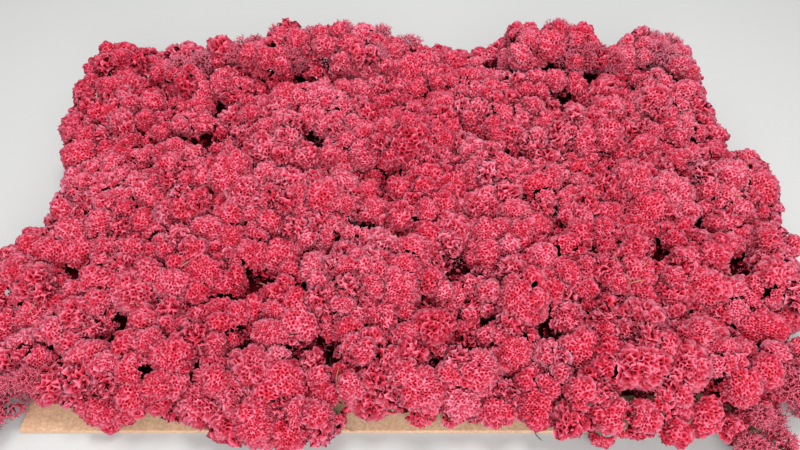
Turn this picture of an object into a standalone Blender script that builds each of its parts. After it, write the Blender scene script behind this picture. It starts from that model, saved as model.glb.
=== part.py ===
"""Moss clump: a mat of dyed reindeer moss cushions lying on a sheet of kraft cardboard.

Metres, +Z up. The origin is the centre of the sheet's underside, +X runs along the sheet's long
side and +Y runs to its back edge. Each cushion of moss is one closed solid that reaches the tips
of its twigs, parted from its neighbours by upright planes halfway between their middles.
"""
import math
import random
from collections import namedtuple

import bmesh
import bpy
import numpy as np

SHEET_LENGTH = 0.600
SHEET_WIDTH = 0.400
SHEET_THICKNESS = 0.004
GAP = 0.0003            # clearance between pieces that touch

SEGMENTS, RINGS = 16, 11    # facets round and down one cushion
MIDDLE_HEIGHT = 0.42        # a cushion's widest level, as a share of its height
FULLNESS = 3.0              # 2 makes a cushion an ellipsoid, more makes it boxier
INTERLOCK = 1.75            # how far a cushion would reach into a neighbour, over half their pitch
WANDER = 0.017              # how far a cushion's middle strays from its row's even spacing
LOBES = 13                  # bulges over one cushion
LOBE_SPAN = 0.60            # half angle of a bulge, radians
LOBE_RELIEF = 0.20          # depth of the folds between bulges, as a share of the radius
BACK_REACH = 0.048          # of the back row past its middle line

# A row of cushions: its middle line, the mat's outline at its two ends, and each cushion's height.
Row = namedtuple("Row", "name y left right tops")
ROWS = (
    Row("front", -0.148, -0.322, 0.335, (0.052, 0.060, 0.056, 0.066, 0.056, 0.066, 0.062)),
    Row("near", -0.066, -0.350, 0.368, (0.060, 0.070, 0.064, 0.074, 0.064, 0.073, 0.068, 0.066)),
    Row("middle", 0.022, -0.334, 0.372, (0.066, 0.077, 0.068, 0.073, 0.078, 0.070, 0.068)),
    Row("far", 0.118, -0.345, 0.354, (0.076, 0.074, 0.084, 0.082, 0.082, 0.084, 0.076)),
    Row("back", 0.216, -0.370, 0.350, (0.080, 0.092, 0.108, 0.112, 0.084, 0.112, 0.106, 0.110)),
)
# Where each front cushion ends: the third is a big head that pushes out over the sheet's edge.
FRONT_EDGE = (-0.188, -0.193, -0.220, -0.196, -0.203, -0.218, -0.218)
HEAD = 2
HEAD_SHIFT = 0.024
# Thin lacy sprigs that hang over the sheet's two front corners: middle, reach and height.
Sprig = namedtuple("Sprig", "name x y reach top")
SPRIGS = (
    Sprig("sprig_left", -0.306, -0.188, 0.032, 0.036),
    Sprig("sprig_right", 0.284, -0.205, 0.028, 0.034),
)
# The skyline of the back row: along X, then its height.
SKYLINE = (
    (-0.370, 0.060), (-0.335, 0.080), (-0.292, 0.062), (-0.262, 0.088), (-0.230, 0.074),
    (-0.190, 0.092), (-0.160, 0.084), (-0.135, 0.108), (-0.085, 0.098), (-0.035, 0.112),
    (0.000, 0.102), (0.018, 0.068), (0.045, 0.082), (0.105, 0.070), (0.125, 0.094),
    (0.165, 0.112), (0.215, 0.106), (0.250, 0.088), (0.295, 0.110), (0.325, 0.090), (0.350, 0.064),
)
SEED = 7

CARDBOARD = ((0.62, 0.40, 0.24), 0.90)
MOSS = ((0.53, 0.055, 0.095), 0.85)

# A cushion: its middle, its height, and how far it reaches each way before its neighbours cut it.
Cushion = namedtuple("Cushion", "name x y top west east south north")


def material(name, colour, roughness):
    """A plain Principled material."""
    made = bpy.data.materials.new(name)
    made.use_nodes = True
    shader = made.node_tree.nodes["Principled BSDF"]
    shader.inputs["Base Color"].default_value = (*colour, 1.0)
    shader.inputs["Roughness"].default_value = roughness
    shader.inputs["Metallic"].default_value = 0.0
    return made


def add_object(name, bm, collection, finish):
    """Make bm an object of its own in the collection, with its own material."""
    mesh = bpy.data.meshes.new(name)
    bm.to_mesh(mesh)
    bm.free()
    mesh.materials.append(material(name, *finish))
    made = bpy.data.objects.new(name, mesh)
    collection.objects.link(made)
    return made


def add_sheet(collection):
    """The flat cardboard sheet, standing on z = 0."""
    bm = bmesh.new()
    bmesh.ops.create_cube(bm, size=1.0)
    bmesh.ops.scale(bm, vec=(SHEET_LENGTH, SHEET_WIDTH, SHEET_THICKNESS), verts=bm.verts)
    bmesh.ops.translate(bm, vec=(0.0, 0.0, SHEET_THICKNESS / 2), verts=bm.verts)
    add_object("sheet", bm, collection, CARDBOARD)


def lay_out(chance):
    """Every cushion of the mat, row by row, then the two sprigs."""
    cushions = []
    for number, row in enumerate(ROWS):
        pitch = (row.right - row.left) / len(row.tops)
        inside = INTERLOCK * pitch / 2
        before = row.y - ROWS[number - 1].y if number else 0.0
        after = ROWS[number + 1].y - row.y if row is not ROWS[-1] else 0.0
        for place, top in enumerate(row.tops):
            x = row.left + (place + 0.5) * pitch + chance.uniform(-WANDER, WANDER)
            y = row.y + chance.uniform(-WANDER, WANDER) * (1.0 if before and after else 0.3)
            if row is ROWS[0] and place == HEAD:
                y -= HEAD_SHIFT
            cushions.append(Cushion(
                f"cushion_{row.name}_{place + 1}", x, y, top,
                west=inside if place else x - row.left,
                east=inside if place < len(row.tops) - 1 else row.right - x,
                south=INTERLOCK * before / 2 if before else y - FRONT_EDGE[place],
                north=INTERLOCK * after / 2 if after else BACK_REACH,
            ))
    for sprig in SPRIGS:
        cushions.append(Cushion(*sprig[:3], sprig.top, *[sprig.reach] * 4))
    return cushions


def planes_to_neighbours(cushion, cushions):
    """The upright planes that part a cushion from the others: direction, and distance from its middle."""
    planes = []
    size = min(cushion[4:])
    for other in cushions:
        away = np.array((other.x - cushion.x, other.y - cushion.y, 0.0))
        distance = np.linalg.norm(away)
        if other is cushion or distance > 0.25:
            continue
        lean = (size ** 2 - min(other[4:]) ** 2) / (2 * distance)
        planes.append((away / distance, distance / 2 + lean - GAP / 2))
    return planes


def bulges(chance):
    """Directions of the bulges over a cushion, spread evenly and then shaken."""
    turn = chance.uniform(0.0, 2 * math.pi)
    found = []
    for number in range(LOBES):
        up = 1.0 - 1.5 * (number + 0.5) / LOBES
        angle = turn + number * math.pi * (3.0 - math.sqrt(5.0))
        out = math.sqrt(1.0 - up * up)
        found.append((
            out * math.cos(angle) + chance.uniform(-0.15, 0.15),
            out * math.sin(angle) + chance.uniform(-0.15, 0.15),
            up + chance.uniform(-0.12, 0.12),
        ))
    found = np.array(found)
    return found / np.linalg.norm(found, axis=1)[:, None]


def reach_along(way, cushion, height, lobes):
    """How far a cushion's surface lies from its middle in one direction, before it is cut."""
    across = cushion.east if way[0] > 0 else cushion.west
    along = cushion.north if way[1] > 0 else cushion.south
    up = height * (1.0 - MIDDLE_HEIGHT)
    parts = (abs(way[0]) / across, abs(way[1]) / along, abs(way[2]) / up)
    smooth = sum(part ** FULLNESS for part in parts) ** (-1.0 / FULLNESS)
    nearest = math.acos(min(1.0, float(np.max(lobes @ way))))
    dome = math.sqrt(max(0.0, 1.0 - (nearest / LOBE_SPAN) ** 2))
    return smooth * (1.0 - LOBE_RELIEF * (1.0 - dome))


def skyline(x):
    """The height of the back row at x."""
    places, heights = zip(*SKYLINE)
    return float(np.interp(x, places, heights))


def add_cushion(cushion, cushions, chance, collection):
    """One cushion: a sphere whose points move out to its bulges, cut by its neighbours and the sheet."""
    floor = SHEET_THICKNESS + GAP
    height = cushion.top - floor
    middle = np.array((cushion.x, cushion.y, floor + MIDDLE_HEIGHT * height))
    planes = planes_to_neighbours(cushion, cushions)
    planes.append((np.array((0.0, 0.0, -1.0)), middle[2] - floor))
    lobes = bulges(chance)
    bm = bmesh.new()
    bmesh.ops.create_uvsphere(bm, u_segments=SEGMENTS, v_segments=RINGS, radius=1.0)
    for vert in bm.verts:
        way = np.array(vert.co)
        way /= np.linalg.norm(way)
        reach = reach_along(way, cushion, height, lobes)
        for normal, distance in planes:
            facing = float(way @ normal)
            if facing > 1e-6:
                reach = min(reach, distance / facing)
        place = middle + way * reach
        if cushion.name.startswith("cushion_back") and place[2] > middle[2]:
            rise = (skyline(place[0]) - middle[2]) / (cushion.top - middle[2])
            place[2] = middle[2] + (place[2] - middle[2]) * rise
        vert.co = place
    made = add_object(cushion.name, bm, collection, MOSS)
    made.data.shade_smooth()


def main():
    for thing in list(bpy.data.objects):
        bpy.data.objects.remove(thing, do_unlink=True)
    collection = bpy.data.collections.new("moss_clump")
    bpy.context.scene.collection.children.link(collection)
    add_sheet(collection)
    chance = random.Random(SEED)
    cushions = lay_out(chance)
    for cushion in cushions:
        add_cushion(cushion, cushions, chance, collection)


main()
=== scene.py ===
"""Looks of the moss clump: a mat of dyed reindeer moss on a sheet of kraft cardboard.

Each cushion's plain solid is replaced by a mesh of its own. Over the solids lie round heads, each
a cluster of small lobes. A head's surface is a net of pores and raised ridges, or forking twigs that
stand on the lobes, or both. Lengths are in metres. Places come from the frame and from seeded draws,
apart from the tables MAIN_HEADS, LITTER and HOLLOWS. Nearly all of their places were picked by eye in
the reference photo, and a scratch script worked them out in metres through the camera.
"""
import math
from collections import namedtuple

import bmesh
import bpy
import numpy as np
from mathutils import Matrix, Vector
from mathutils.bvhtree import BVHTree


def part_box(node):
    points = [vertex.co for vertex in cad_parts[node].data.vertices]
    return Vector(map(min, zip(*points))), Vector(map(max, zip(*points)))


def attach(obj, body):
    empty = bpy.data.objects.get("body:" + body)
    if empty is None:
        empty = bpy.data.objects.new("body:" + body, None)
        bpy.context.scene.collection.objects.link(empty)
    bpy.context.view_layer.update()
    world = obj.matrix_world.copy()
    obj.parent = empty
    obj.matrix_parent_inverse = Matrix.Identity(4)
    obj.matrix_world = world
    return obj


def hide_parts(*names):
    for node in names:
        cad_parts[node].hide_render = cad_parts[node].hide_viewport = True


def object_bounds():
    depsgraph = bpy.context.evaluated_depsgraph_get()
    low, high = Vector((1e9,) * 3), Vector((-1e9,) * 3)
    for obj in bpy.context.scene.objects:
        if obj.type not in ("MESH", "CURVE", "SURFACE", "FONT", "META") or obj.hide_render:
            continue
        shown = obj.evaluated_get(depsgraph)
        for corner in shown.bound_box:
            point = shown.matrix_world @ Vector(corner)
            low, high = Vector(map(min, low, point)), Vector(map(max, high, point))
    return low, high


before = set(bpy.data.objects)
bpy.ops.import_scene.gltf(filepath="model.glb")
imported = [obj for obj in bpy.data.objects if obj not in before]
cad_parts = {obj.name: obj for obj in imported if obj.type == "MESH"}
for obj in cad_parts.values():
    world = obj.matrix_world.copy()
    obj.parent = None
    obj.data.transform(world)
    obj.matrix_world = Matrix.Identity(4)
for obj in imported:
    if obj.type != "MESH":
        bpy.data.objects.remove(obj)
CAD_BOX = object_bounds()

MM = 0.001
SEED = 20
rng = np.random.default_rng(SEED)

SHEET = "sheet"
MOSS_NODES = sorted(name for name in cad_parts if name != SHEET)
SHEET_LOW, SHEET_HIGH = (np.array(corner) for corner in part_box(SHEET))
LOW, HIGH = (np.array(corner) for corner in CAD_BOX)

HEAD_SIZES = ((16 * MM, 22 * MM), (10 * MM, 14 * MM))   # radius ranges, tried in turn
FILL_SIZES = (8 * MM, 12 * MM)   # of the small heads that fill what is left
HEAD_SPACING = 0.55         # least distance between two heads, over the sum of their radii
MAIN_SPACING = 0.72         # the same, from a marked head
SPRIG_SPACING = 0.72        # the same, in the sprigs at the sheet's corners
GRID = 4 * MM               # between the places tried over the mat
SLIT = 16 * MM              # gaps between solids up to this wide are bridged
UNEVEN = 4.5 * MM           # how far heads stand proud of each other
VALLEY = 8.5 * MM           # no deeper is a place left between heads
FILL_RISE = 4 * MM          # how far a small head that fills such a place rises over that depth
LEAST_MAT = 6 * MM          # no head is tried where the mat is lower than this over the sheet
STEEP = 0.25                # nor from above where it is steeper: the upward share of its direction
RIM_SLOPE = 0.6             # below this share a face counts as the rim
RIM_SAMPLES = 900           # places tried on each solid
OPEN_VIEW = 9 * MM          # a face of a solid is open if nothing lies this close in front of it
OPEN_ROUND = 60 * MM        # nor this close to it, level and outward
MAT_HALF = (0.37, 0.25)     # half the mat's size in plan
LEAN_FROM, LEAN = 0.75, 2.0       # from where over that a marked head turns outward, and how much
CREST_Y, CREST_Z = 0.190, 0.085   # the mat's back edge, where heads stand against the light
LACY_SHARE = 0.35           # of the heads there that can be seen through
TOP_ROOM = 6 * MM           # how far a head may rise over the highest solid
SIDE_ROOM = 11 * MM         # and how far it may stand out past the solids' box
HEAD_LUMPS = 0.09           # how far a head strays from a ball, over its radius
LOBE_SHARE = 0.40           # a lobe's radius over its head's
LOBE_RANGE = (4.5 * MM, 9.0 * MM)   # least and most radius of a lobe, before it varies
LOBE_COUNT = 4.8            # lobes of a head, over the square of its radius over theirs
LOBE_RELIEF = 1.3 * MM      # how far lobes stand proud of each other
TIP_SHARE = 0.5             # of the ridge points between pores that stand up as tips
TIP_HEIGHTS, RIDGE_HEIGHT = (0.8, 1.0), 0.62   # how light tips and ridges are, 0 to 1
RIDGE_RISE = (-0.5, 0.3)    # of the other ridge points over the surface, mm
PACKING = 0.87              # room for one pore or branch, over the square of the spacing
PORE_JITTER, BRANCH_JITTER = 0.16, 0.25   # over the spacing
CORE_DEPTH = {"dense": 3.0 * MM, "open": 6.5 * MM}   # of what blocks sight, under the surface
SHUT_REACH = {"dense": 0.92, "open": 0.75}   # nothing grows nearer a neighbour's middle, over its radius
BACK_FACING = -0.35         # least turn toward a head's outer side, or up, of what grows on it
BRANCH_SPACING = {"open": 7.5 * MM, "lacy": 5.2 * MM}   # kinds of heads with branches
BACK_SPREAD = 0.22          # how much wider the spacing grows toward the mat's back
OPEN_SHARE = 0.30           # of the heads whose twigs stand apart
DEEP_SHADE = 0.62           # painted shade: how much darker the moss's colour is made where little sky reaches it
LEAST_SIGHT, SIGHT_SPAN = 0.15, 0.7   # the share of sky at which that is full, and over which it fades
FAR_SIGHT = 70 * MM         # a way out this long lets a place be seen
SKY_RINGS = ((0.25, 6), (0.85, 5), (1.57, 1))   # such ways: their slopes, radians, and how many each
SHELL_HEIGHT = 0.58         # of a cushion's inside, a sheet coloured near black as painted shade, over the cushion's own
SHELL_INSET = 20 * MM       # of that inside behind the mat's rim
SHELL_SETBACK = 30 * MM     # and behind the sheet's front edge
MOST_TRIANGLES = 975_000    # of all the moss; the least seen faces are left out
HOLLOW_COUNT = 60           # the marked hollows, and others scattered between them
HOLLOW_STEP = 1.5           # between the pits of one crooked hollow, over its radius
HOLLOW_BEND = 0.6           # how far it turns at its middle, radians
HOLLOW_GAP = 36 * MM        # least distance from a scattered hollow to any other
HOLLOW_RADII, HOLLOW_DEPTHS = (5, 8), (14, 24)   # of the scattered ones, mm
SIDE_PIT = (0.65, 0.7)      # radius and depth of a hollow's outer pits, over the middle one's
VARIANTS = 9                # of branches
UV_WIDTH = 0.008            # least width of a face on the layer that the finish is baked to
SWELLS = 8                  # slow waves that raise and lower the mat's heads
SWELL_LENGTHS = (55 * MM, 120 * MM)
SWELL_HEIGHT = 4.0 * MM
THIRDS = (0.0, 2.094, 4.189)      # of a turn, radians

# Heads that mark the mat: place, radius and rise over the mat around in mm, kind, tint.
MAIN_HEADS = (
    (-0.102, -0.210, 17, 7, "dense", 0.25), (-0.080, -0.214, 15, 6, "dense", 0.10),
    (0.238, -0.200, 14, 3, "dense", 0.30), (0.262, -0.203, 13, 3, "open", 0.35),
    (0.132, -0.208, 13, 3, "open", 0.20), (0.284, -0.190, 14, 2, "dense", 0.25),
    (-0.272, -0.176, 14, 3, "open", 0.40), (0.078, -0.196, 13, 3, "dense", 0.35),
    (0.164, -0.206, 14, 4, "dense", 0.30), (0.190, -0.206, 13, 4, "dense", 0.40),
    (0.212, -0.212, 12, 3, "dense", 0.20), (0.110, -0.192, 18, 5, "dense", 0.10),
    (-0.084, -0.182, 24, 9, "dense", 0.15), (-0.052, -0.192, 16, 6, "dense", 0.05),
    (0.000, -0.194, 12, 3, "open", 0.30), (0.024, -0.192, 13, 3, "dense", 0.10),
    (0.052, -0.190, 16, 8, "dense", 0.95), (-0.152, -0.188, 20, 3, "open", 0.40),
    (0.268, -0.184, 16, 3, "dense", 0.20), (-0.228, -0.180, 22, 4, "dense", 0.35),
    (-0.202, -0.186, 14, 3, "dense", 0.25), (-0.014, -0.178, 13, 3, "open", 0.30),
    (-0.206, -0.172, 13, 3, "dense", 0.30), (0.226, -0.172, 21, 4, "open", 0.30),
    (0.290, -0.172, 15, 3, "dense", 0.20), (0.192, -0.170, 19, 4, "open", 0.30),
    (-0.140, -0.166, 14, 3, "dense", 0.25), (-0.034, -0.166, 15, 3, "dense", 0.00),
    (0.014, -0.164, 13, 3, "open", 0.20), (-0.174, -0.162, 18, 4, "dense", 0.20),
    (0.258, -0.158, 15, 3, "dense", 0.30), (0.150, -0.156, 21, 6, "dense", 0.20),
    (-0.286, -0.156, 17, 3, "dense", 0.30), (-0.244, -0.152, 21, 6, "dense", 0.45),
    (0.098, -0.152, 20, 4, "dense", 0.25), (-0.100, -0.140, 15, 4, "dense", 0.40),
    (-0.036, -0.140, 13, 3, "dense", 0.10), (0.030, -0.136, 20, 7, "open", 0.10),
    (0.058, -0.132, 15, 3, "open", 0.30), (0.258, -0.132, 16, 3, "dense", 0.30),
    (-0.330, -0.126, 16, 3, "dense", 0.25), (-0.142, -0.128, 19, 3, "dense", 0.05),
    (0.308, -0.128, 22, 4, "dense", 0.10), (0.208, -0.128, 26, 7, "open", 0.50),
    (-0.208, -0.126, 17, 3, "dense", 0.40), (-0.012, -0.124, 18, 4, "open", 0.40),
    (0.142, -0.124, 15, 3, "open", 0.60), (-0.074, -0.120, 25, 7, "dense", 0.65),
    (-0.308, -0.114, 19, 3, "dense", 0.30), (-0.270, -0.116, 17, 3, "open", 0.30),
    (0.108, -0.112, 25, 6, "dense", 0.30), (-0.146, -0.106, 15, 3, "dense", 0.10),
    (0.164, -0.096, 16, 3, "dense", 0.20), (-0.192, -0.092, 16, 3, "dense", 0.70),
    (0.264, -0.092, 20, 4, "dense", 0.30), (-0.142, -0.090, 18, 3, "dense", 0.05),
    (-0.256, -0.088, 15, 3, "dense", 0.35), (0.030, -0.086, 21, 6, "open", 0.00),
    (0.210, -0.078, 20, 4, "dense", 0.30), (-0.240, -0.070, 15, 3, "open", 0.50),
    (0.128, -0.068, 15, 4, "dense", 0.75), (-0.144, -0.064, 13, 4, "open", 0.95),
    (-0.070, -0.064, 15, 3, "dense", 0.30), (-0.042, -0.064, 15, 3, "open", 0.50),
    (0.084, -0.060, 19, 4, "dense", 0.30), (-0.102, -0.056, 19, 3, "dense", 0.30),
    (-0.012, -0.050, 19, 6, "open", 1.00), (0.028, -0.046, 20, 4, "dense", 0.00),
    (-0.172, -0.034, 17, 4, "dense", 0.50), (0.130, -0.032, 18, 3, "dense", 0.20),
    (0.320, -0.032, 18, 3, "dense", 0.20), (-0.272, -0.026, 16, 4, "dense", 0.40),
    (0.268, -0.026, 20, 3, "dense", 0.20), (0.168, -0.020, 20, 3, "dense", 0.50),
    (-0.112, -0.016, 18, 3, "dense", 0.40), (-0.210, -0.012, 16, 3, "open", 0.75),
    (0.200, -0.010, 16, 3, "dense", 0.15), (-0.016, -0.008, 14, 3, "dense", 0.50),
    (0.086, -0.004, 22, 4, "open", 0.50), (0.346, -0.002, 18, 3, "dense", 0.20),
    (0.136, 0.014, 18, 3, "dense", 0.00), (0.260, 0.016, 22, 5, "dense", 0.80),
    (-0.076, 0.030, 19, 3, "open", 0.40), (0.184, 0.048, 16, 3, "dense", 0.10),
    (-0.032, 0.066, 17, 3, "dense", 0.60), (-0.132, 0.070, 22, 4, "open", 0.50),
    (0.260, 0.090, 20, 3, "dense", 0.40), (-0.090, 0.200, 14, 3, "dense", 0.30),
)
NEEDLE_SHARE = 0.8          # of a needle that shows
# Along a needle from its middle, over its length, and how thick it is there: radius in mm.
NEEDLE_RINGS = ((-0.5, 0.15), (-0.25, 0.5), (0.1, 0.5), (0.35, 0.42), (0.5, 0.1))
# Dry needles and dark threads: place, length in mm, turn and slope in radians, 1 for a dark one.
LITTER = (
    (-0.200, 0.060, 15, 0.1, 0.1, 0), (-0.178, -0.082, 12, 0.6, 0.3, 0), (-0.138, -0.086, 20, -0.9, 0.2, 0),
    (-0.300, -0.116, 16, 1.1, 0.4, 0), (-0.215, -0.112, 12, -0.8, 0.3, 0), (-0.038, 0.012, 18, 0.15, 0.1, 0),
    (-0.034, 0.004, 16, -0.5, 0.2, 0), (-0.030, 0.024, 14, 0.0, 0.2, 0), (0.118, -0.024, 20, 0.35, 0.2, 0),
    (0.100, -0.040, 16, -1.1, 0.3, 0), (-0.001, 0.078, 12, 0.6, 0.2, 0), (-0.114, -0.088, 14, -0.5, 0.2, 0),
    (-0.044, -0.182, 26, 1.5, 0.8, 0), (-0.046, -0.206, 16, -1.1, -0.3, 0),
    (-0.036, -0.202, 16, -0.4, -0.1, 0),
    (0.185, -0.004, 20, 1.5, 0.7, 0), (0.325, 0.052, 18, 1.5, 0.9, 0), (0.342, 0.040, 16, 1.8, 0.8, 0),
    (0.320, 0.004, 18, -0.8, 0.1, 0), (0.190, -0.082, 26, 1.7, 0.5, 0), (0.212, -0.084, 20, 0.7, 0.2, 0),
    (0.290, -0.084, 14, -1.2, 0.3, 0), (0.204, -0.096, 22, 0.1, 0.3, 0), (0.112, -0.100, 14, -0.6, 0.3, 0),
    (0.192, 0.112, 16, 0.5, 0.3, 0), (-0.312, -0.160, 22, 1.2, 0.5, 1), (0.132, -0.206, 14, 1.9, -0.4, 1),
    (0.112, -0.206, 18, -0.9, -0.5, 1), (0.145, -0.205, 12, 0.4, -0.3, 1), (0.196, -0.092, 18, 2.4, 0.4, 0),
)
# Dark hollows between heads: place, radius and depth in mm.
HOLLOWS = (
    (-0.114, -0.146, 8, 20), (-0.128, -0.094, 9, 24), (-0.109, -0.082, 8, 20), (-0.060, -0.156, 10, 22),
    (-0.044, -0.168, 8, 18), (-0.001, -0.140, 8, 26), (0.074, -0.126, 10, 28), (0.064, -0.146, 8, 24),
    (-0.269, -0.063, 8, 24), (-0.285, -0.075, 7, 20), (-0.228, -0.136, 8, 20), (0.067, -0.067, 8, 22),
    (0.042, -0.070, 7, 20), (0.183, -0.058, 8, 24), (0.237, -0.058, 8, 24), (0.136, -0.142, 8, 24),
    (0.184, -0.190, 8, 22), (0.325, 0.058, 9, 26), (0.300, -0.076, 9, 26), (-0.221, -0.038, 8, 26),
    (-0.208, 0.089, 12, 30), (-0.186, 0.096, 8, 24), (-0.192, 0.144, 9, 22), (-0.084, 0.086, 8, 22),
    (-0.031, -0.024, 8, 22), (0.079, 0.101, 9, 26), (0.000, 0.036, 8, 22), (-0.200, -0.066, 8, 22),
    (-0.098, 0.186, 9, 30), (0.186, 0.150, 9, 24), (0.221, 0.190, 8, 22), (0.120, 0.060, 8, 22),
)

# A kind of surface: between its pores, their depths, how far its tips rise, and the pores' painted shade,
# how dark their colour is made.
Net = namedtuple("Net", "spacing depth rise shade")
NET_KINDS = {
    "dense": Net(2.7 * MM, (1.8 * MM, 3.6 * MM), (0.5 * MM, 1.8 * MM), (0.0, 0.26)),
    "open": Net(3.7 * MM, (4.0 * MM, 7.5 * MM), (0.4 * MM, 2.6 * MM), (-0.5, -0.1)),
}

Head = namedtuple("Head", "owner middle radius out kind tint")


# ---------------------------------------------------------------- shapes of single twigs

def branch_shape(chance):
    """A stem that forks into three arms, each ending in a star of three pointed twigs."""
    points, faces, heights = [], [], []

    def ring(middle, along, radius, turn, height):
        side = np.cross(along, (0.3, 0.2, 1.0) if abs(along[2]) < 0.9 else (1.0, 0.0, 0.0))
        side /= np.linalg.norm(side)
        other = np.cross(along, side)
        first = len(points)
        for a in THIRDS:
            points.append(middle + radius * (math.cos(turn + a) * side + math.sin(turn + a) * other))
            heights.append(height)
        return (first, first + 1, first + 2)

    def tube(low, high):
        for i in range(3):
            a, b, c, d = low[i], low[(i + 1) % 3], high[(i + 1) % 3], high[i]
            faces.extend(((a, b, c), (a, c, d)))

    def star(base, along, length, height, level):
        middle = sum(points[i] for i in base) / 3
        points.append(middle + along * 0.45)
        heights.append(height)
        top = len(points) - 1
        for i in range(3):
            a, b = base[i], base[(i + 1) % 3]
            edge = (points[a] + points[b]) / 2 - middle
            out = along * chance.uniform(0.4, 1.0) + edge / np.linalg.norm(edge) * chance.uniform(0.6, 1.1)
            out /= np.linalg.norm(out)
            start = (points[a] + points[b] + points[top]) / 3
            if level:
                shift = out * length * chance.uniform(0.75, 1.25)
                end = []
                for corner in (a, b, top):
                    points.append(start + (points[corner] - start) * 0.8 + shift)
                    heights.append(height + 0.3)
                    end.append(len(points) - 1)
                tube((a, b, top), end)
                star(tuple(end), out, length * 0.75, height + 0.25, level - 1)
            else:
                points.append(start + out * length * chance.uniform(0.8, 1.2))
                heights.append(1.0)
                tip = len(points) - 1
                faces.extend(((a, b, tip), (b, top, tip), (top, a, tip)))

    # Each point's height, 0 at the stem's foot to 1 at a tip, sets its colour: the dark foot is painted
    # shade deep in the head.
    up = np.array((0.0, 0.0, 1.0))
    low = ring(np.array((0.0, 0.0, -7.5)), up, 0.50, 0.3, 0.0)
    high = ring(np.array((chance.uniform(-0.8, 0.8), chance.uniform(-0.8, 0.8), -2.6)), up, 0.46, 0.3, 0.35)
    faces.append((low[2], low[1], low[0]))
    tube(low, high)
    star(high, up, 2.5, 0.42, 1)
    return np.array(points) * MM, np.array(faces), np.array(heights)


BRANCHES = [branch_shape(rng) for _ in range(VARIANTS)]


# ---------------------------------------------------------------- gathering a piece's mesh

class Gather:
    """Points, triangles and their numbers for one joined mesh."""

    def __init__(self):
        self.points, self.faces, self.height, self.tint, self.count = [], [], [], [], 0

    def add(self, points, faces, height, tint):
        self.points.append(points)
        self.faces.append(faces + self.count)
        self.height.append(height)
        self.tint.append(tint)
        self.count += len(points)

    def add_copies(self, shape, places, ways, scales, tints):
        """Copies of one shape, its +Z turned to each way, with a random turn about it."""
        if not len(places):
            return
        points, faces, heights = shape
        turns = rng.uniform(0, 2 * math.pi, len(places))
        helper = np.where(np.abs(ways[:, 2:3]) < 0.9, (0.0, 0.0, 1.0), (1.0, 0.0, 0.0))
        side = np.cross(helper, ways)
        side /= np.linalg.norm(side, axis=1)[:, None]
        other = np.cross(ways, side)
        x = np.cos(turns)[:, None] * side + np.sin(turns)[:, None] * other
        y = np.cross(ways, x)
        axes = np.stack((x, y, ways), 1) * scales[:, None, None]
        made = np.einsum("pk,nkj->npj", points, axes) + places[:, None]
        steps = np.arange(len(places))[:, None, None] * len(points)
        self.add(made.reshape(-1, 3), (faces[None] + steps).reshape(-1, 3),
                 np.tile(heights, len(places)), np.repeat(tints, len(points)))

    def mesh(self, name):
        points = np.concatenate(self.points).astype(np.float32)
        faces = np.concatenate(self.faces).astype(np.int32)
        points[:, 2] = np.maximum(points[:, 2], 0.2 * MM)
        mesh = bpy.data.meshes.new(name)
        mesh.vertices.add(len(points))
        mesh.vertices.foreach_set("co", points.ravel())
        mesh.loops.add(faces.size)
        mesh.loops.foreach_set("vertex_index", faces.ravel())
        mesh.polygons.add(len(faces))
        mesh.polygons.foreach_set("loop_start", np.arange(0, faces.size, 3, dtype=np.int32))
        mesh.polygons.foreach_set("use_smooth", np.ones(len(faces), bool))
        height, tint = np.clip(np.concatenate(self.height), 0, 1), np.concatenate(self.tint)
        for label, values in (("height", height), ("tint", tint)):
            layer = mesh.attributes.new(label, "FLOAT", "POINT")
            layer.data.foreach_set("value", values.astype(np.float32))
        uv = mesh.uv_layers.new(name="OFBake")
        corners = np.stack((height, tint), 1)[faces.ravel()] * 0.96 + 0.02
        corners += np.tile(((0.0, 0.0), (UV_WIDTH, 0.0), (0.0, UV_WIDTH)), (len(faces), 1))
        uv.uv.foreach_set("vector", corners.astype(np.float32).ravel())
        mesh.update(calc_edges=True)
        return mesh


# ---------------------------------------------------------------- materials

def node_material(name):
    made = bpy.data.materials.new(name)
    made.use_nodes = True
    return made, made.node_tree.nodes, made.node_tree.links, made.node_tree.nodes["Principled BSDF"]


def ramp(nodes, stops):
    made = nodes.new("ShaderNodeValToRGB")
    elements = made.color_ramp.elements
    while len(elements) < len(stops):
        elements.new(0.5)
    for element, (place, colour) in zip(elements, stops):
        element.position = place
        element.color = (*colour, 1.0)
    return made


def moss_material():
    """Dark crimson in a pore or at a twig's foot, as painted shade, and pink at a tip; the tint runs from
    red to mauve pink.
    """
    made, nodes, links, shader = node_material("dyed_moss_with_painted_shade")
    height = nodes.new("ShaderNodeAttribute")
    height.attribute_name = "height"
    tint = nodes.new("ShaderNodeAttribute")
    tint.attribute_name = "tint"
    # Painted shade: the near-black low ends of both ramps darken pores, twig feet, the cushions' insides and
    # places that little sky reaches.
    red = ramp(nodes, (
        (0.0, (0.02, 0.0005, 0.001)), (0.24, (0.12, 0.001, 0.003)), (0.5, (0.33, 0.009, 0.021)),
        (0.7, (0.44, 0.042, 0.078)), (1.0, (0.52, 0.135, 0.195))))
    pale = ramp(nodes, (
        (0.0, (0.02, 0.0005, 0.001)), (0.24, (0.15, 0.003, 0.008)), (0.5, (0.38, 0.026, 0.052)),
        (0.7, (0.48, 0.100, 0.150)), (1.0, (0.56, 0.235, 0.315))))
    mix = nodes.new("ShaderNodeMix")
    mix.data_type = "RGBA"
    links.new(height.outputs["Fac"], red.inputs["Fac"])
    links.new(height.outputs["Fac"], pale.inputs["Fac"])
    links.new(tint.outputs["Fac"], mix.inputs["Factor"])
    links.new(red.outputs["Color"], mix.inputs["A"])
    links.new(pale.outputs["Color"], mix.inputs["B"])
    links.new(mix.outputs["Result"], shader.inputs["Base Color"])
    shader.inputs["Roughness"].default_value = 0.85
    shader.inputs["Specular IOR Level"].default_value = 0.03
    return made


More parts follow.
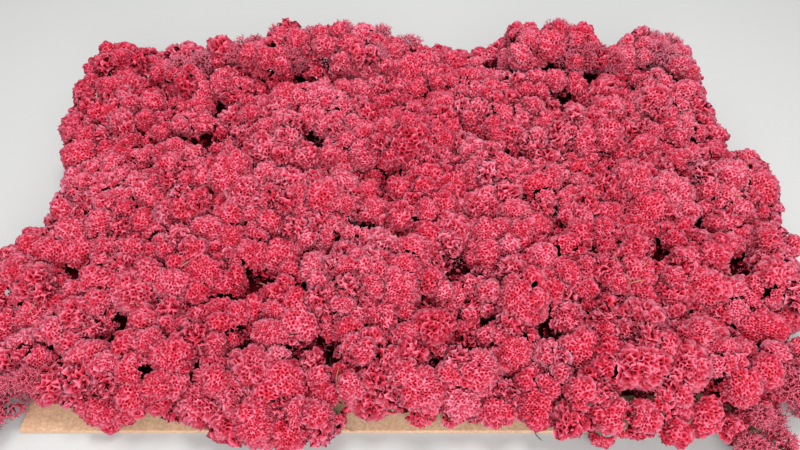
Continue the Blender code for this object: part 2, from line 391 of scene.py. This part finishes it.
def cardboard_material():
    made, nodes, links, shader = node_material("kraft_cardboard")
    place = nodes.new("ShaderNodeTexCoord")
    fibres = nodes.new("ShaderNodeTexNoise")
    fibres.inputs["Scale"].default_value = 420.0
    fibres.inputs["Detail"].default_value = 6.0
    clouds = nodes.new("ShaderNodeTexNoise")
    clouds.inputs["Scale"].default_value = 22.0
    clouds.inputs["Detail"].default_value = 4.0
    links.new(place.outputs["Object"], fibres.inputs["Vector"])
    links.new(place.outputs["Object"], clouds.inputs["Vector"])
    fine = ramp(nodes, ((0.35, (0.42, 0.25, 0.145)), (0.65, (0.56, 0.365, 0.235))))
    broad = ramp(nodes, ((0.35, (0.86, 0.84, 0.82)), (0.65, (1.0, 1.0, 1.0))))
    mix = nodes.new("ShaderNodeMix")
    mix.data_type = "RGBA"
    mix.blend_type = "MULTIPLY"
    mix.inputs["Factor"].default_value = 1.0
    links.new(fibres.outputs["Fac"], fine.inputs["Fac"])
    links.new(clouds.outputs["Fac"], broad.inputs["Fac"])
    links.new(fine.outputs["Color"], mix.inputs["A"])
    links.new(broad.outputs["Color"], mix.inputs["B"])
    links.new(mix.outputs["Result"], shader.inputs["Base Color"])
    shader.inputs["Roughness"].default_value = 0.9
    bump = nodes.new("ShaderNodeBump")
    bump.inputs["Strength"].default_value = 0.25
    bump.inputs["Distance"].default_value = 0.0004
    links.new(fibres.outputs["Fac"], bump.inputs["Height"])
    links.new(bump.outputs["Normal"], shader.inputs["Normal"])
    return made


# ---------------------------------------------------------------- where the heads lie

def solid_arrays(name):
    """A CAD solid's points and triangles."""
    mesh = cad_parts[name].data
    mesh.calc_loop_triangles()
    points = np.empty(len(mesh.vertices) * 3)
    mesh.vertices.foreach_get("co", points)
    faces = np.empty(len(mesh.loop_triangles) * 3, int)
    mesh.loop_triangles.foreach_get("vertices", faces)
    return points.reshape(-1, 3), faces.reshape(-1, 3)


def tree_of(meshes):
    """One tree of all the meshes' faces, for casting rays."""
    points, faces, count = [], [], 0
    for own_points, own_faces in meshes:
        points.append(own_points)
        faces.append(own_faces + count)
        count += len(own_points)
    return BVHTree.FromPolygons(np.concatenate(points).tolist(), np.concatenate(faces).tolist())


SOLIDS = {name: solid_arrays(name) for name in MOSS_NODES}
ALL_SOLIDS = tree_of(SOLIDS.values())
MIDDLES = {name: (np.array(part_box(name)[0]) + np.array(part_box(name)[1])) / 2 for name in MOSS_NODES}


def face_samples(name, count):
    """Places spread evenly over a solid, with the directions that they face."""
    points, faces = SOLIDS[name]
    a, b, c = (points[faces[:, i]] for i in range(3))
    cross = np.cross(b - a, c - a)
    area = np.linalg.norm(cross, axis=1)
    chosen = rng.choice(len(faces), count, p=area / area.sum())
    u, v = rng.random((2, count))
    flip = u + v > 1
    u[flip], v[flip] = 1 - u[flip], 1 - v[flip]
    places = a[chosen] + u[:, None] * (b - a)[chosen] + v[:, None] * (c - a)[chosen]
    return places, cross[chosen] / area[chosen][:, None]


def owner_of(place):
    """The solid whose middle is nearest in plan."""
    return min(MOSS_NODES, key=lambda name: math.dist(MIDDLES[name][:2], place[:2]))


def box_filter(field, reach, pick):
    """The highest or lowest value within reach cells, along both directions."""
    for axis in (0, 1):
        padded = np.pad(field, [(reach, reach) if a == axis else (0, 0) for a in (0, 1)], mode="edge")
        count = field.shape[axis]
        shifts = [np.take(padded, range(i, i + count), axis) for i in range(2 * reach + 1)]
        field = pick(shifts, axis=0)
    return field


def mat_heights():
    """The mat's height over a grid in plan, with the slits between the solids bridged."""
    xs = np.arange(LOW[0], HIGH[0] + GRID, GRID)
    ys = np.arange(LOW[1], HIGH[1] + GRID, GRID)
    field = np.full((len(xs), len(ys)), -1.0)
    down = Vector((0, 0, -1))
    for i, x in enumerate(xs):
        for j, y in enumerate(ys):
            hit = ALL_SOLIDS.ray_cast(Vector((x, y, 1.0)), down)[0]
            if hit is not None:
                field[i, j] = hit.z
    reach = int(SLIT / GRID / 2 + 0.5)
    padded = np.pad(field, reach, constant_values=-1.0)
    closed = box_filter(box_filter(padded, reach, np.max), reach, np.min)[reach:-reach, reach:-reach]
    wave = np.zeros_like(closed)
    for _ in range(SWELLS):
        turn, phase = rng.uniform(0, 2 * math.pi, 2)
        length = rng.uniform(*SWELL_LENGTHS)
        along = xs[:, None] * math.cos(turn) + ys[None] * math.sin(turn)
        wave += np.sin(2 * math.pi * along / length + phase)
    closed = closed + wave * SWELL_HEIGHT * math.sqrt(2 / SWELLS)
    for x, y, radius, depth in ALL_HOLLOWS:
        gap = np.hypot(xs[:, None] - x, ys[None] - y)
        closed = closed - depth * MM * np.exp(-(gap / (radius * MM)) ** 2)
    return xs, ys, closed


def crooked_hollows():
    """The hollows, marked and scattered, each a crooked row of three pits."""
    middles = list(HOLLOWS)
    while len(middles) < HOLLOW_COUNT:
        spot = rng.uniform(LOW[:2], HIGH[:2])
        if min(math.dist(spot, other[:2]) for other in middles) > HOLLOW_GAP:
            middles.append((*spot, rng.uniform(*HOLLOW_RADII), rng.uniform(*HOLLOW_DEPTHS)))
    pits = []
    for x, y, radius, depth in middles:
        turn = rng.uniform(0, math.pi)
        pits.append((x, y, radius, depth))
        for side in (1, -1):
            way = turn + side * rng.uniform(0, HOLLOW_BEND)
            step = side * radius * MM * HOLLOW_STEP
            pits.append((x + step * math.cos(way), y + step * math.sin(way),
                         radius * SIDE_PIT[0], depth * SIDE_PIT[1]))
    return pits


ALL_HOLLOWS = crooked_hollows()
MAT = mat_heights()


def height_at(x, y):
    """The mat's height at one place."""
    xs, ys, field = MAT
    return float(field[np.abs(xs - x).argmin(), np.abs(ys - y).argmin()])


def top_places():
    """Places over the top of the mat, and the directions that it faces there."""
    xs, ys, field = MAT
    slope_x, slope_y = np.gradient(np.maximum(field, 0.0), GRID)
    normals = np.stack((-slope_x, -slope_y, np.ones_like(field)), -1)
    normals /= np.linalg.norm(normals, axis=-1)[..., None]
    x, y = np.meshgrid(xs, ys, indexing="ij")
    places = np.stack((x, y, field), -1)
    good = (field > SHEET_HIGH[2] + LEAST_MAT) & (normals[..., 2] > STEEP)
    return places[good], normals[good]


def rim_places():
    """Places on the open, steep faces all round the mat."""
    found, ways = [], []
    for name in MOSS_NODES:
        places, normals = face_samples(name, RIM_SAMPLES)
        for place, way in zip(places, normals):
            if way[2] < RIM_SLOPE and is_open(place, way):
                found.append(place)
                ways.append(way)
    return np.array(found), np.array(ways)


def is_open(place, out):
    """True if a face isn't shut in by a neighbour or by the sheet."""
    start = Vector(place + out * 0.8 * MM)
    if ALL_SOLIDS.ray_cast(start, Vector(out), OPEN_VIEW)[0] is not None:
        return False
    if ALL_SOLIDS.ray_cast(start, Vector((out[0], out[1], 0.0)), OPEN_ROUND)[0] is not None:
        return False
    over_sheet = (np.abs(place[:2]) < SHEET_HIGH[:2]).all()
    return not (over_sheet and out[2] < -0.35)


def place_heads():
    """The marked heads, then big ones, then small ones wherever it would still lie bare."""
    tops, top_ways = top_places()
    rims, rim_ways = rim_places()
    places, ways = np.concatenate((tops, rims)), np.concatenate((top_ways, rim_ways))
    owner_tints = dict(zip(MOSS_NODES, rng.uniform(0.1, 0.7, len(MOSS_NODES))))
    middles, radii, heads = np.empty((0, 3)), np.empty(0), []

    def add(middle, radius, out, kind=None, tint=None):
        nonlocal middles, radii
        owner = owner_of(middle)
        plan = np.clip(middle[:2], LOW[:2] - SIDE_ROOM + radius, HIGH[:2] + SIDE_ROOM - radius)
        middle = np.array((*plan, min(middle[2], HIGH[2] + TOP_ROOM - radius)))
        if tint is None:
            tint = owner_tints[owner] + rng.normal(0, 0.2)
        if kind is None:
            kind = "open" if rng.random() < OPEN_SHARE else "dense"
            on_crest = middle[1] > CREST_Y and middle[2] + radius > CREST_Z
            if owner.startswith("sprig") or (on_crest and rng.random() < LACY_SHARE):
                kind = "lacy"
        middles = np.concatenate((middles, [middle]))
        radii = np.append(radii, radius)
        heads.append(Head(owner, middle, radius, out, kind, tint))

    for x, y, radius, rise, kind, tint in MAIN_HEADS:
        middle = np.array((x, y, height_at(x, y) + (rise - radius) * MM))
        rim = np.array((x / MAT_HALF[0], y / MAT_HALF[1], 0.0))
        out = np.array((0.0, 0.0, 1.0)) + rim * max(0.0, np.linalg.norm(rim) - LEAN_FROM) * LEAN
        add(middle, radius * MM, out / np.linalg.norm(out), kind, tint)
    hollows = np.array([(x, y) for x, y, _, _ in ALL_HOLLOWS])
    hollow_radii = np.array([radius * MM for _, _, radius, _ in ALL_HOLLOWS])
    for least, most in HEAD_SIZES:
        for number in rng.permutation(len(places)):
            room = places[number][2] - SHEET_HIGH[2]
            radius = min(rng.uniform(least, most), 0.5 * room if ways[number][2] > RIM_SLOPE else most)
            middle = places[number] - ways[number] * radius + rng.normal(0, UNEVEN) * ways[number]
            if radius < least * 0.6 or middle[2] < SHEET_HIGH[2]:
                continue
            if (np.linalg.norm(hollows - middle[:2], axis=1) < hollow_radii + radius * 0.8).any():
                continue
            share = np.where(np.arange(len(radii)) < len(MAIN_HEADS), MAIN_SPACING, HEAD_SPACING)
            if owner_of(middle).startswith("sprig"):
                share = SPRIG_SPACING
                if middle[0] < 0 and middle[1] < SHEET_LOW[1]:    # the left sprig hangs out sideways only
                    continue
            if (np.linalg.norm(middles - middle, axis=1) > share * (radii + radius)).all():
                add(middle, radius, ways[number])
    for number in rng.permutation(len(places)):
        deep = places[number] - ways[number] * VALLEY
        if deep[2] < 3 * MM or (np.linalg.norm(middles - deep, axis=1) < radii).any():
            continue
        if owner_of(deep).startswith("sprig"):
            continue
        radius = rng.uniform(*FILL_SIZES)
        add(deep - ways[number] * (radius - FILL_RISE), radius, ways[number])
    return heads


def shell_of(name):
    """A cushion's inside, a near-black sheet of painted shade: its solid made lower, and drawn in behind the
    mat's rim.
    """
    points, faces = SOLIDS[name]
    middle = MIDDLES[name]
    made = points.copy()
    for number, point in enumerate(points):
        out = np.array((point[0] - middle[0], point[1] - middle[1], 0.0))
        out /= np.linalg.norm(out) + 1e-9
        if is_open(point, out):
            made[number] -= out * SHELL_INSET
    floor = SHEET_HIGH[2]
    made[:, 2] = floor + (points[:, 2] - floor) * SHELL_HEIGHT
    made[:, 1] = np.maximum(made[:, 1], SHEET_LOW[1] + SHELL_SETBACK)
    return made, faces


# ---------------------------------------------------------------- growing the moss

def ball_shape():
    """A unit ball of 80 faces, for the inside of a head."""
    bm = bmesh.new()
    bmesh.ops.create_icosphere(bm, subdivisions=2, radius=1.0)
    points = np.array([v.co for v in bm.verts])
    faces = np.array([[v.index for v in f.verts] for f in bm.faces])
    bm.free()
    return points, faces


BALL = ball_shape()
SKY = np.array([(math.cos(a) * math.cos(e), math.sin(a) * math.cos(e), math.sin(e))
                for e, count in SKY_RINGS for a in np.arange(count) * 2 * math.pi / count])


def sight(tree, spots, ways):
    """For each place, the share of the directions in front of it that lead out into the open."""
    found = np.zeros(len(spots))
    for number, (spot, way) in enumerate(zip(spots, ways)):
        start = Vector(spot + way * 1.2 * MM)
        looks = SKY[SKY @ way > -0.2]
        free = [tree.ray_cast(start, Vector(look), FAR_SIGHT)[0] is None for look in looks]
        found[number] = np.mean(free) if len(free) else 0.0
    return found


def even_directions(count):
    """Directions spread evenly over a sphere, with a random turn."""
    number = np.arange(count) + 0.5
    up = 1 - 2 * number / count
    angle = number * math.pi * (3 - math.sqrt(5)) + rng.uniform(0, 2 * math.pi)
    out = np.sqrt(1 - up * up)
    made = np.stack((out * np.cos(angle), out * np.sin(angle), up), 1)
    turn = np.linalg.qr(rng.normal(size=(3, 3)))[0]
    return made @ turn


def unit(ways):
    return ways / np.linalg.norm(ways, axis=1)[:, None]


def lobes_of(head):
    """The lobes of a head: their middles, from the head's own, and their radii."""
    size = float(np.clip(head.radius * LOBE_SHARE, *LOBE_RANGE))
    ways = even_directions(max(8, int(LOBE_COUNT * (head.radius / size) ** 2)))
    ways = unit(ways + rng.normal(0, 0.14, ways.shape))
    radii = size * rng.uniform(0.8, 1.3, len(ways))
    lumps = sum(np.cos(ways @ lump * 2.2 + phase)
                for lump, phase in zip(even_directions(3), rng.uniform(0, 6.28, 3)))
    reach = head.radius * (1 + HEAD_LUMPS * lumps) - radii + rng.normal(0, LOBE_RELIEF, len(ways))
    return ways * reach[:, None], radii


def surface_of(head, lobes, ways):
    """Where a head's surface lies along each direction from its middle, and how it faces there."""
    middles, radii = lobes
    along = ways @ middles.T
    inside = along ** 2 - (middles ** 2).sum(1) + radii ** 2
    reach = np.where(inside > 0, along + np.sqrt(np.maximum(inside, 0)), 0.0)
    best = reach.argmax(1)
    far = np.maximum(reach.max(1), head.radius * 0.7)
    points = ways * far[:, None]
    return points, unit(points - middles[best])


def core_of(head, lobes):
    """The inside of a dense or open head. It isn't built, and only blocks the sky from other places."""
    depth = CORE_DEPTH[head.kind]
    points, _ = surface_of(head, lobes, BALL[0])
    length = np.linalg.norm(points, axis=1)
    return head.middle + points * (np.maximum(length - depth, length * 0.4) / length)[:, None], BALL[1]


def net_shape(count):
    """A ball's pores, and the ridges that ring them: unit directions and triangles.

    The pores come first, each the middle of a ring of ridge points. A triangle is one pore, then
    two ridge points.
    """
    pores = even_directions(count)
    bm = bmesh.new()
    for way in pores:
        bm.verts.new(way)
    bmesh.ops.convex_hull(bm, input=bm.verts)
    bm.verts.index_update()
    pores = np.array([v.co for v in bm.verts])
    faces = np.array([[v.index for v in f.verts] for f in bm.faces if len(f.verts) == 3])
    bm.free()
    a, b, c = (pores[faces[:, i]] for i in range(3))
    inward = (np.cross(b - a, c - a) * (a + b + c)).sum(1) < 0
    faces[inward] = faces[inward][:, ::-1]
    ridges = unit(pores[faces].sum(1))
    beside = {(face[i], face[(i + 1) % 3]): number + count
              for number, face in enumerate(faces) for i in range(3)}
    made = []
    for (start, end), left in beside.items():
        right = beside.get((end, start))
        if right is not None:
            made.append((start, right, left))
    return np.concatenate((pores, ridges)), np.array(made), count


NETS = [net_shape(count) for count in (70, 110, 170, 250, 350, 480, 640, 830, 1060, 1340)]


def stretch_at(head):
    """How much wider twigs and pores stand toward the mat's back."""
    return 1 + BACK_SPREAD * float(np.clip((head.middle[1] + 0.2) / 0.42, 0.0, 1.0))


def shut_in(spots, near):
    """Which places lie inside other heads, or in the floor."""
    low = spots[:, 2] < 1.0 * MM
    if not near:
        return low
    others = np.array([other.middle for other in near])
    reach = np.array([other.radius * SHUT_REACH[other.kind] for other in near])
    return low | (np.linalg.norm(spots[:, None] - others[None], axis=2) < reach[None]).any(1)


def skin_on(head, lobes, near, tree):
    """The porous surface of a dense or open head: points, faces, heights, tints, each face's sight."""
    kind = NET_KINDS[head.kind]
    pitch = stretch_at(head) * kind.spacing
    wanted = 4 * math.pi * head.radius ** 2 / (PACKING * pitch ** 2)
    ways, faces, count = min(NETS, key=lambda net: abs(math.log(net[2] / wanted)))
    turn = np.linalg.qr(rng.normal(size=(3, 3)))[0]
    turn *= np.sign(np.linalg.det(turn))
    ways = unit(ways @ turn + rng.normal(0, PORE_JITTER * pitch / head.radius, ways.shape))
    points, normals = surface_of(head, lobes, ways)
    is_pore = np.arange(len(ways)) < count
    depths, ridges = rng.uniform(*kind.depth, len(ways)), rng.uniform(*RIDGE_RISE, len(ways)) * MM
    rise = np.where(is_pore, -depths, ridges)
    tip = ~is_pore & (rng.random(len(ways)) < TIP_SHARE)
    rise = np.where(tip, rng.uniform(*kind.rise, len(ways)), rise)
    # Painted shade: a pore's colour is made dark, whatever light reaches it.
    shades, tip_heights = rng.uniform(*kind.shade, len(ways)), rng.uniform(*TIP_HEIGHTS, len(ways))
    heights = np.where(is_pore, shades, np.where(tip, tip_heights, RIDGE_HEIGHT))
    spots = head.middle + points + (unit(normals + 0.4 * ways) * rise[:, None])
    facing = (ways[:count] @ head.out > BACK_FACING) | (ways[:count, 2] > BACK_FACING)
    tried = facing & ~shut_in(spots[:count], near)
    seen = np.zeros(count)
    surface = head.middle + points[:count]
    seen[tried] = sight(tree, surface[tried], normals[:count][tried])
    # Painted shade: the colour is made darker where the pores nearby see little sky.
    lit = np.zeros(len(ways))
    for column in range(3):
        np.maximum.at(lit, faces[:, column], seen[faces[:, 0]])
    heights = heights * (1 - DEEP_SHADE * np.clip(1 - (lit - LEAST_SIGHT) / SIGHT_SPAN, 0, 1))
    tints = np.clip(head.tint + rng.normal(0, 0.08, len(ways)), 0, 1)
    return spots, faces, heights, tints, seen[faces[:, 0]]


def twigs_on(head, lobes, near, tree):
    """Where the branches of an open or lacy head stand, their directions, scales and tints."""
    stretch = stretch_at(head)
    spacing = stretch * BRANCH_SPACING[head.kind]
    ways = even_directions(int(4 * math.pi * head.radius ** 2 / (spacing ** 2 * PACKING)) + 1)
    ways = unit(ways + rng.normal(0, BRANCH_JITTER * spacing / head.radius, ways.shape))
    ways = ways[(ways @ head.out > BACK_FACING) | (ways[:, 2] > BACK_FACING)]
    points, normals = surface_of(head, lobes, ways)
    spots = head.middle + points
    free = ~shut_in(spots, near)
    spots, normals, ways = spots[free], normals[free], ways[free]
    seen = sight(tree, spots, normals)
    keep = rng.random(len(spots)) < np.clip(seen * 2.4, 0.0, 1.0)
    spots, ways = spots[keep], unit(0.5 * normals[keep] + 0.5 * ways[keep])
    ways = unit(ways + rng.normal(0, 0.20, ways.shape))
    scales = stretch * rng.uniform(0.75, 1.1, len(spots)) * (1.25 if head.kind == "lacy" else 1.0)
    tints = np.clip(head.tint + rng.normal(-0.25 if head.kind == "lacy" else 0.1, 0.12, len(spots)), 0, 1)
    return spots - ways * rng.uniform(0.0, 2.0, len(spots))[:, None] * MM, ways, scales, tints


def grow(name, heads, lobes, skins, twigs, least_seen, shell):
    """The mesh of one cushion."""
    piece = Gather()
    if shell:
        # Painted shade: the cushion's inside is coloured near black.
        piece.add(shell[0], shell[1], np.full(len(shell[0]), 0.02), np.full(len(shell[0]), 0.3))
    for number, head in enumerate(heads):
        if head.owner != name:
            continue
        if number in skins:
            points, faces, heights, tints, seen = skins[number]
            faces = faces[seen > least_seen]
            used, compact = np.unique(faces, return_inverse=True)
            if len(used):
                piece.add(points[used], compact.reshape(-1, 3), heights[used], tints[used])
        if number in twigs:
            spots, ways, scales, tints = twigs[number]
            variant = rng.integers(0, len(BRANCHES), len(spots))
            for pick, shape in enumerate(BRANCHES):
                own = variant == pick
                points, faces, heights = shape
                # Painted light: a lacy head's twigs are made lighter, and their feet far less dark, to lift
                # the shade that the thin twigs cast on each other.
                if head.kind == "lacy":
                    heights = 0.55 + 0.4 * heights
                piece.add_copies((points, faces, heights), spots[own], ways[own], scales[own], tints[own])
    return piece


def add_litter():
    """Dry needles caught in the moss, and a few dark threads, as one piece."""
    piece = Gather()
    for x, y, length, turn, slope, dark in LITTER:
        level = math.cos(slope)
        along = np.array((math.cos(turn) * level, math.sin(turn) * level, math.sin(slope)))
        bend = np.cross(along, rng.normal(size=3))
        bend /= np.linalg.norm(bend)
        other = np.cross(along, bend)
        middle = np.array((x, y, max(height_at(x, y), 6 * MM) + 4 * MM))
        rings = []
        for share, width in NEEDLE_RINGS:
            place = middle + (along * share + bend * 0.5 * share ** 2) * length * NEEDLE_SHARE * MM
            for a in THIRDS:
                rings.append(place + width * MM * (math.cos(a) * bend + math.sin(a) * other))
        faces = [(2, 1, 0), (12, 13, 14)]
        for ring in range(4):
            for i in range(3):
                a, b = ring * 3 + i, ring * 3 + (i + 1) % 3
                faces += [(a, b, b + 3), (a, b + 3, a + 3)]
        heights, tints = np.full(len(rings), 0.5), np.full(len(rings), float(dark))
        piece.add(np.array(rings), np.array(faces), heights, tints)
    mesh = piece.mesh("dry_needles")
    made, nodes, links, shader = node_material("dry_needle")
    tint = nodes.new("ShaderNodeAttribute")
    tint.attribute_name = "tint"
    colour = ramp(nodes, ((0.0, (0.31, 0.135, 0.065)), (1.0, (0.05, 0.018, 0.014))))
    links.new(tint.outputs["Fac"], colour.inputs["Fac"])
    links.new(colour.outputs["Color"], shader.inputs["Base Color"])
    shader.inputs["Roughness"].default_value = 0.6
    mesh.materials.append(made)
    needles = bpy.data.objects.new("dry_needles", mesh)
    bpy.context.scene.collection.objects.link(needles)
    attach(needles, "root")


def main():
    heads = place_heads()
    shells = {name: shell_of(name) for name in MOSS_NODES if not name.startswith("sprig")}
    lobes = [lobes_of(head) for head in heads]
    cores = [core_of(head, own) for head, own in zip(heads, lobes) if head.kind != "lacy"]
    tree = tree_of(cores + list(shells.values()))
    skins, twigs = {}, {}
    for number, (head, own) in enumerate(zip(heads, lobes)):
        near = [other for other in heads if other is not head and other.kind != "lacy"
                and np.linalg.norm(other.middle - head.middle) < other.radius + head.radius]
        if head.kind in NET_KINDS:
            skins[number] = skin_on(head, own, near, tree)
        if head.kind in BRANCH_SPACING:
            twigs[number] = twigs_on(head, own, near, tree)
    branches = sum(len(own[0]) for own in twigs.values()) * len(BRANCHES[0][1])
    inside = sum(len(shell[1]) for shell in shells.values())
    sights = np.sort(np.concatenate([own[4] for own in skins.values()]))[::-1]
    room = MOST_TRIANGLES - branches - inside
    least_seen = float(sights[room]) if room < len(sights) else 0.0
    material = moss_material()
    for name in MOSS_NODES:
        mesh = grow(name, heads, lobes, skins, twigs, least_seen, shells.get(name)).mesh("moss_" + name)
        mesh.materials.append(material)
        piece = bpy.data.objects.new("moss_" + name, mesh)
        bpy.context.scene.collection.objects.link(piece)
        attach(piece, "root")
        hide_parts(name)
    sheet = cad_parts[SHEET]
    sheet.data.materials.clear()
    sheet.data.materials.append(cardboard_material())


def add_floor():
    made, nodes, links, shader = node_material("pale_floor")
    shader.inputs["Base Color"].default_value = (0.36, 0.36, 0.355, 1.0)
    shader.inputs["Roughness"].default_value = 0.7
    mesh = bpy.data.meshes.new("floor")
    mesh.from_pydata([(-6, -6, 0), (6, -6, 0), (6, 6, 0), (-6, 6, 0)], [], [(0, 1, 2, 3)])
    mesh.materials.append(made)
    floor = bpy.data.objects.new("floor", mesh)
    bpy.context.scene.collection.objects.link(floor)


def area_light(name, place, target, size, power, colour=(1.0, 1.0, 1.0)):
    light = bpy.data.lights.new(name, "AREA")
    light.shape = "DISK"
    light.size = size
    light.energy = power
    light.color = colour
    lamp = bpy.data.objects.new(name, light)
    lamp.location = place
    lamp.rotation_euler = (Vector(target) - Vector(place)).to_track_quat("-Z", "Y").to_euler()
    bpy.context.scene.collection.objects.link(lamp)


def add_lights():
    world = bpy.data.worlds.new("studio")
    world.use_nodes = True
    world.node_tree.nodes["Background"].inputs["Color"].default_value = (1.0, 1.0, 1.0, 1.0)
    world.node_tree.nodes["Background"].inputs["Strength"].default_value = 0.85
    bpy.context.scene.world = world
    area_light("key", (0.0, 0.20, 1.5), (0.0, 0.05, 0.0), 0.7, 23.0)
    area_light("fill", (0.15, -1.2, 0.75), (0.05, -0.25, 0.0), 1.0, 26.0)


def add_camera():
    camera = bpy.data.cameras.new("camera")
    camera.lens = 29.25
    camera.sensor_width = 36.0
    camera.clip_start = 0.01
    holder = bpy.data.objects.new("camera", camera)
    holder.location = (0.005, -0.432, 0.498)
    holder.rotation_euler = (math.radians(90.0 - 47.3), 0.0, 0.0)
    bpy.context.scene.collection.objects.link(holder)
    bpy.context.scene.camera = holder
    bpy.context.scene.view_settings.view_transform = "Standard"


main()
add_litter()
add_floor()
add_lights()
add_camera()
